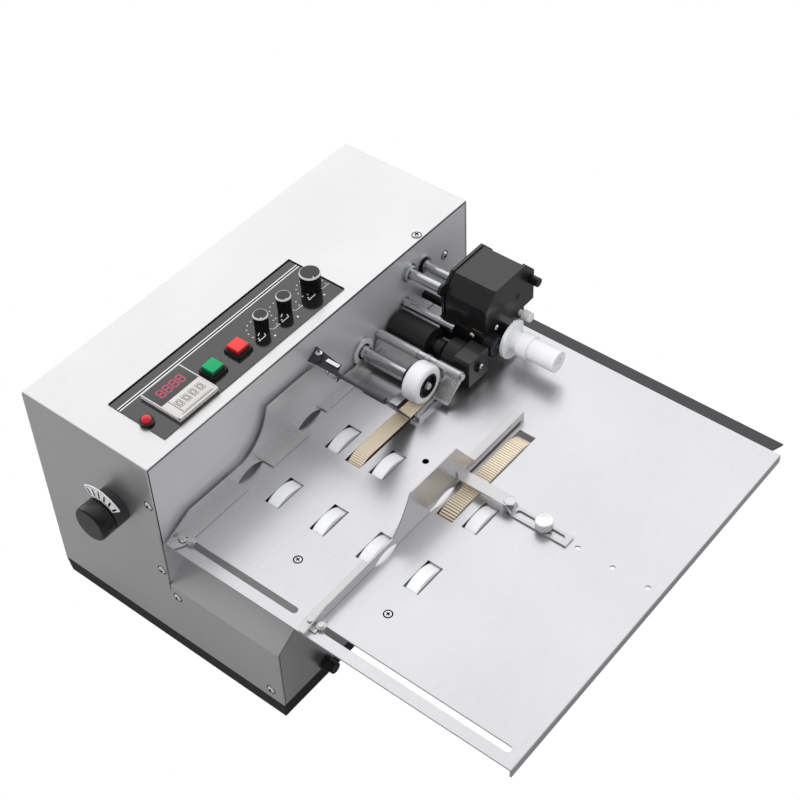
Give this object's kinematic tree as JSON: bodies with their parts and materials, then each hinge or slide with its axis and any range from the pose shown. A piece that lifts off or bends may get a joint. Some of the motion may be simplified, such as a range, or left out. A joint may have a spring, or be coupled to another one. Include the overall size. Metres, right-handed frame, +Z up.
{
  "type": "date coding machine",
  "caption": "Desk-top date coding machine: steel casing with control panel, feed table with wheels, belts and fences, separator blade, and a black print head.",
  "frame": {"origin": "middle of the machine's footprint, on the surface it stands on", "axes": "+X along the feed, from the casing's left end to the delivery lip; +Y from the table to the casing's back; +Z up"},
  "size_m": [0.4524, 0.5046, 0.2593],
  "materials": {
    "brushed_stainless": "brushed sheet, satin",
    "plated_steel": "bright zinc or nickel plated turned steel",
    "black_enamel": "satin black stove enamel",
    "grey_enamel": "dark grey satin enamel",
    "white_nylon": "machined white nylon",
    "black_plastic": "moulded black ABS",
    "black_rubber": "ground black rubber",
    "white_rubber": "pale grey rubber",
    "cream_belt": "ribbed cream polyurethane belt",
    "counter_grey": "light grey moulded case with smoked window",
    "panel_film": "printed polycarbonate overlay",
    "green_plastic": "translucent green button",
    "red_plastic": "translucent red button",
    "ink_black": "solid ink compound",
    "brass": "machined brass",
    "board_green": "glass-epoxy board with parts",
    "motor_grey": "cast gearbox and can"
  },
  "bodies": {
    "machine": {"base_tray": "black_enamel", "rubber_feet": "black_rubber", "casing_shell": "brushed_stainless", "front_plate": "brushed_stainless", "rear_plate": "brushed_stainless", "housing_front": "brushed_stainless", "casing_screws": "plated_steel", "feed_table": "brushed_stainless", "table_screws": "plated_steel", "discharge_lip": "grey_enamel", "outer_shaft_bracket": "brushed_stainless", "feed_belts": "cream_belt", "roller_bearing_block": "black_enamel", "bridge_plate": "brushed_stainless", "press_shaft": "plated_steel", "support_rods": "plated_steel", "top_guide_plate": "brushed_stainless", "head_frame": "black_enamel", "panel_plate": "panel_film", "counter_case": "counter_grey", "button_bezels": "black_plastic", "scale_plate": "white_nylon", "fuse_holder": "black_plastic", "power_inlet": "black_plastic", "drive_belt": "black_rubber", "gear_motor": "motor_grey", "control_board": "board_green"},
    "feed_shaft_two": {"wheel_shaft_2": "plated_steel", "feed_wheels_2": "white_nylon"},
    "feed_shaft_one": {"wheel_shaft_1": "plated_steel", "feed_wheels_1": "white_nylon"},
    "belt_shaft": {"belt_shaft_front": "plated_steel"},
    "lower_roller": {"lower_feed_roller": "black_rubber"},
    "upper_roller": {"upper_feed_roller": "black_rubber"},
    "platen": {"platen_roller": "black_rubber"},
    "printer": {"print_shaft": "plated_steel", "type_holder": "brass", "print_sleeve": "white_nylon"},
    "idler": {"idler_gear": "plated_steel"},
    "inker": {"ink_roll": "ink_black"},
    "motor_output": {"motor_pulley": "motor_grey"},
    "press_wheel": {"press_wheel_hub": "black_plastic", "press_wheel_tyre": "white_rubber"},
    "left_fence": {"left_guide": "brushed_stainless"},
    "right_fence": {"right_guide": "brushed_stainless", "guide_arm": "brushed_stainless"},
    "thumb_screw": {"arm_thumb_screw": "plated_steel"},
    "separator": {"separator_lever": "brushed_stainless", "separator_blade": "brushed_stainless"},
    "hood": {"head_hood": "black_enamel"},
    "hood_pin": {"hood_knob": "black_plastic"},
    "ink_setting": {"ink_knob": "white_nylon"},
    "speed_control": {"speed_knob": "black_plastic"},
    "position_control": {"position_knob": "black_plastic"},
    "heater_control": {"heater_knob": "black_plastic"},
    "start_key": {"start_button": "green_plastic"},
    "stop_key": {"stop_button": "red_plastic"},
    "reset_key": {"reset_button": "red_plastic"},
    "side_control": {"side_knob": "black_plastic"},
    "power_rocker": {"power_switch": "black_plastic"}
  },
  "joints": [
    {"name": "feed_drive", "type": "hinge", "parent": "machine", "child": "feed_shaft_two", "pos_m": [-0.01275, 0.1043, 0.1245], "axis": [0, 1, 0], "continuous": true},
    {"name": "feed_shaft_one_turn", "type": "hinge", "parent": "machine", "child": "feed_shaft_one", "pos_m": [-0.09075, 0.1043, 0.1245], "axis": [0, 1, 0], "continuous": true},
    {"name": "belt_shaft_turn", "type": "hinge", "parent": "machine", "child": "belt_shaft", "pos_m": [0.06825, 0.1043, 0.1245], "axis": [0, 1, 0], "continuous": true},
    {"name": "lower_roller_turn", "type": "hinge", "parent": "machine", "child": "lower_roller", "pos_m": [0.11375, 0.1043, 0.1377], "axis": [0, 1, 0], "continuous": true},
    {"name": "upper_roller_turn", "type": "hinge", "parent": "machine", "child": "upper_roller", "pos_m": [0.11375, 0.1043, 0.168], "axis": [0, 1, 0], "continuous": true},
    {"name": "platen_turn", "type": "hinge", "parent": "machine", "child": "platen", "pos_m": [0.15925, 0.1043, 0.1375], "axis": [0, 1, 0], "continuous": true},
    {"name": "print_turn", "type": "hinge", "parent": "machine", "child": "printer", "pos_m": [0.15925, 0.1043, 0.1703], "axis": [0, 1, 0], "continuous": true},
    {"name": "idler_turn", "type": "hinge", "parent": "machine", "child": "idler", "pos_m": [0.13875, 0.1043, 0.175], "axis": [0, 1, 0], "continuous": true},
    {"name": "ink_roll_turn", "type": "hinge", "parent": "machine", "child": "inker", "pos_m": [0.18425, 0.1043, 0.197], "axis": [0, 1, 0], "continuous": true},
    {"name": "motor_turn", "type": "hinge", "parent": "machine", "child": "motor_output", "pos_m": [-0.01275, 0.1043, 0.07], "axis": [0, 1, 0], "continuous": true},
    {"name": "press_wheel_turn", "type": "hinge", "parent": "machine", "child": "press_wheel", "pos_m": [0.06685, 0.1043, 0.1695], "axis": [0, 1, 0], "continuous": true},
    {"name": "left_fence_slide", "type": "slide", "parent": "machine", "child": "left_fence", "axis": [0, -1, 0], "range_m": [0, 0.03]},
    {"name": "right_fence_slide", "type": "slide", "parent": "machine", "child": "right_fence", "axis": [0, -1, 0], "range_m": [0, 0.02]},
    {"name": "thumb_screw_turn", "type": "hinge", "parent": "machine", "child": "thumb_screw", "pos_m": [0.01005, -0.1379, 0.148], "axis": [0, 0, 1], "range_deg": [0, 330]},
    {"name": "separator_lift", "type": "hinge", "parent": "machine", "child": "separator", "pos_m": [0.00025, 0.1043, 0.21], "axis": [0, -1, 0], "range_deg": [0, 9]},
    {"name": "hood_open", "type": "hinge", "parent": "machine", "child": "hood", "pos_m": [0.20425, 0.0158, 0.204], "axis": [0, 1, 0], "range_deg": [0, 95]},
    {"name": "hood_pin_turn", "type": "hinge", "parent": "machine", "child": "hood_pin", "pos_m": [0.20425, 0.0158, 0.204], "axis": [0, 1, 0], "range_deg": [-180, 180]},
    {"name": "ink_setting_turn", "type": "hinge", "parent": "machine", "child": "ink_setting", "pos_m": [0.18825, 0.0158, 0.1745], "axis": [0, 1, 0], "range_deg": [-90, 90]},
    {"name": "speed_turn", "type": "hinge", "parent": "machine", "child": "speed_control", "pos_m": [-0.01835, 0.1398, 0.241], "axis": [0, 0, -1], "range_deg": [-140, 140]},
    {"name": "position_turn", "type": "hinge", "parent": "machine", "child": "position_control", "pos_m": [0.01105, 0.1398, 0.241], "axis": [0, 0, -1], "range_deg": [-140, 140]},
    {"name": "heater_turn", "type": "hinge", "parent": "machine", "child": "heater_control", "pos_m": [0.04605, 0.1398, 0.241], "axis": [0, 0, -1], "range_deg": [-140, 140]},
    {"name": "start_press", "type": "slide", "parent": "machine", "child": "start_key", "axis": [0, 0, -1], "range_m": [0, 0.0025], "stiffness_N_per_m": 250, "springref_m": -0.002},
    {"name": "stop_press", "type": "slide", "parent": "machine", "child": "stop_key", "axis": [0, 0, -1], "range_m": [0, 0.0025], "stiffness_N_per_m": 250, "springref_m": -0.002},
    {"name": "reset_press", "type": "slide", "parent": "machine", "child": "reset_key", "axis": [0, 0, -1], "range_m": [0, 0.0015], "stiffness_N_per_m": 250, "springref_m": -0.002},
    {"name": "side_turn", "type": "hinge", "parent": "machine", "child": "side_control", "pos_m": [-0.19575, 0.1549, 0.1652], "axis": [-1, 0, 0], "range_deg": [-135, 135]},
    {"name": "rocker_turn", "type": "hinge", "parent": "machine", "child": "power_rocker", "pos_m": [-0.10575, 0.2463, 0.071], "axis": [1, 0, 0], "range_deg": [-20, 0]}
  ],
  "couplings": [
    {"joint": "feed_shaft_one_turn", "follows": "feed_drive", "ratio": 1},
    {"joint": "belt_shaft_turn", "follows": "feed_drive", "ratio": 1},
    {"joint": "lower_roller_turn", "follows": "feed_drive", "ratio": 1.7},
    {"joint": "upper_roller_turn", "follows": "feed_drive", "ratio": -1.7},
    {"joint": "platen_turn", "follows": "feed_drive", "ratio": 1.7586},
    {"joint": "print_turn", "follows": "feed_drive", "ratio": -1.4167},
    {"joint": "idler_turn", "follows": "feed_drive", "ratio": 1.2879},
    {"joint": "ink_roll_turn", "follows": "feed_drive", "ratio": 1.3952},
    {"joint": "motor_turn", "follows": "feed_drive", "ratio": 1}
  ]
}
